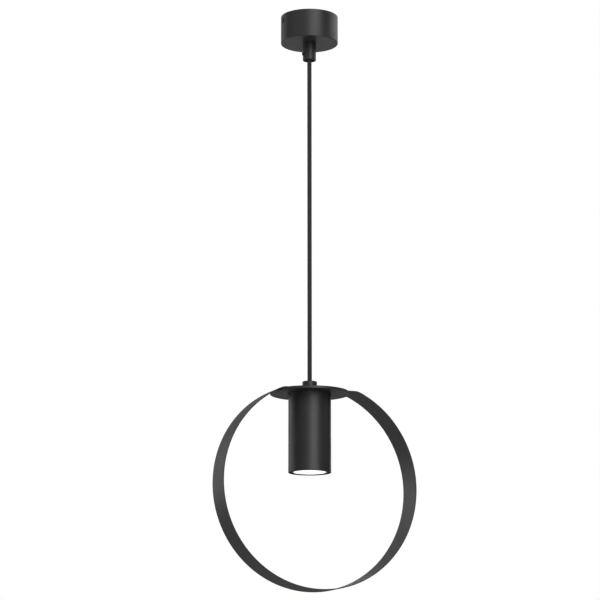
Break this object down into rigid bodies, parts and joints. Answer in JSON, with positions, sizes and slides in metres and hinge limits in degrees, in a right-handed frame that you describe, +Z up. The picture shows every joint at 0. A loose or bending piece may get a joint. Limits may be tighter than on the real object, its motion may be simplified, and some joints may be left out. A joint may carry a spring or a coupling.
{
  "type": "pendant light",
  "caption": "Pendant spot lamp: round canopy, straight cloth-covered cord, and a slim tube holding a twist-in reflector lamp inside a flat-topped steel hoop.",
  "frame": {"origin": "middle of the ceiling bracket's top face, where the canopy meets the ceiling", "axes": "+Z up into the ceiling; the hoop lies in the XZ plane and the canopy's two side screws lie along X; +Y runs through the hoop"},
  "size_m": [0.2924, 0.1114, 0.8306],
  "materials": {
    "black_powder_coat": "matt black powder coat",
    "blackened_steel": "blackened steel, satin",
    "zinc_plated_steel": "bright zinc plating",
    "tinned_brass": "tinned, satin",
    "plain_brass": "plain brass, satin",
    "white_polyamide": "moulded, matt",
    "brown_core": "brown insulation",
    "blue_core": "blue insulation",
    "green_core": "green and yellow insulation",
    "black_braid": "black braided cloth",
    "white_ceramic": "unglazed white ceramic",
    "black_silicone": "matt black silicone",
    "lamp_white_shell": "white moulded plastic",
    "lamp_grey_bezel": "grey moulded rim",
    "lit_lens": "frosted lens, lit",
    "white_circuit_board": "white coated board",
    "green_circuit_board": "green coated board",
    "nickel_pins": "nickel plated"
  },
  "bodies": {
    "canopy": {"ceiling_bracket": "zinc_plated_steel", "canopy_shell": "black_powder_coat", "canopy_side_screws": "blackened_steel", "upper_nipple": "zinc_plated_steel", "upper_washer": "zinc_plated_steel", "upper_earth_tag": "tinned_brass", "upper_lock_nut": "zinc_plated_steel", "upper_cord_grip": "black_powder_coat", "upper_grip_screw": "blackened_steel", "terminal_block": "white_polyamide", "terminal_sleeves": "plain_brass", "terminal_screws": "zinc_plated_steel", "terminal_fixing_screw": "zinc_plated_steel", "upper_live_core": "brown_core", "upper_earth_core": "green_core", "upper_neutral_core": "blue_core", "upper_earth_link": "green_core", "cord_upper_tail": "black_braid"},
    "cord_knuckle": {"cord_bend": "black_braid"},
    "cord": {"cord_drop": "black_braid"},
    "pendant": {"cord_lower_tail": "black_braid", "lower_cord_grip": "black_powder_coat", "lower_grip_screw": "blackened_steel", "lower_nipple": "zinc_plated_steel", "ring_band": "black_powder_coat", "hoop_spacer": "zinc_plated_steel", "disc_plate": "black_powder_coat", "tube_housing": "black_powder_coat", "lampholder_bracket": "zinc_plated_steel", "lower_washer": "zinc_plated_steel", "lower_lock_nut": "zinc_plated_steel", "lampholder_body": "white_ceramic", "lampholder_contacts": "plain_brass", "lampholder_screws": "zinc_plated_steel", "lower_live_core": "brown_core", "lower_neutral_core": "blue_core", "lower_earth_core": "green_core", "lower_earth_tag": "tinned_brass"},
    "lamp_collar": {"centring_ring": "black_silicone"},
    "lamp": {"lamp_shell": "lamp_white_shell", "lamp_bezel": "lamp_grey_bezel", "lamp_lens": "lit_lens", "lamp_led_board": "white_circuit_board", "lamp_driver_board": "green_circuit_board", "lamp_pins": "nickel_pins"}
  },
  "joints": [
    {"name": "swing_along", "type": "hinge", "parent": "canopy", "child": "cord_knuckle", "pos_m": [0, 0, -0.0615], "axis": [0, 1, 0], "range_deg": [-20, 20]},
    {"name": "swing_across", "type": "hinge", "parent": "cord_knuckle", "child": "cord", "pos_m": [0, 0, -0.0615], "axis": [1, 0, 0], "range_deg": [-20, 20]},
    {"name": "hang_turn", "type": "hinge", "parent": "cord", "child": "pendant", "pos_m": [0, 0, -0.541], "axis": [0, 0, 1], "range_deg": [-180, 180]},
    {"name": "lamp_twist", "type": "hinge", "parent": "pendant", "child": "lamp_collar", "pos_m": [0, 0, -0.6655], "axis": [0, 0, 1], "range_deg": [-20, 0]},
    {"name": "lamp_pull", "type": "slide", "parent": "lamp_collar", "child": "lamp", "axis": [0, 0, -1], "range_m": [0, 0.06]}
  ]
}
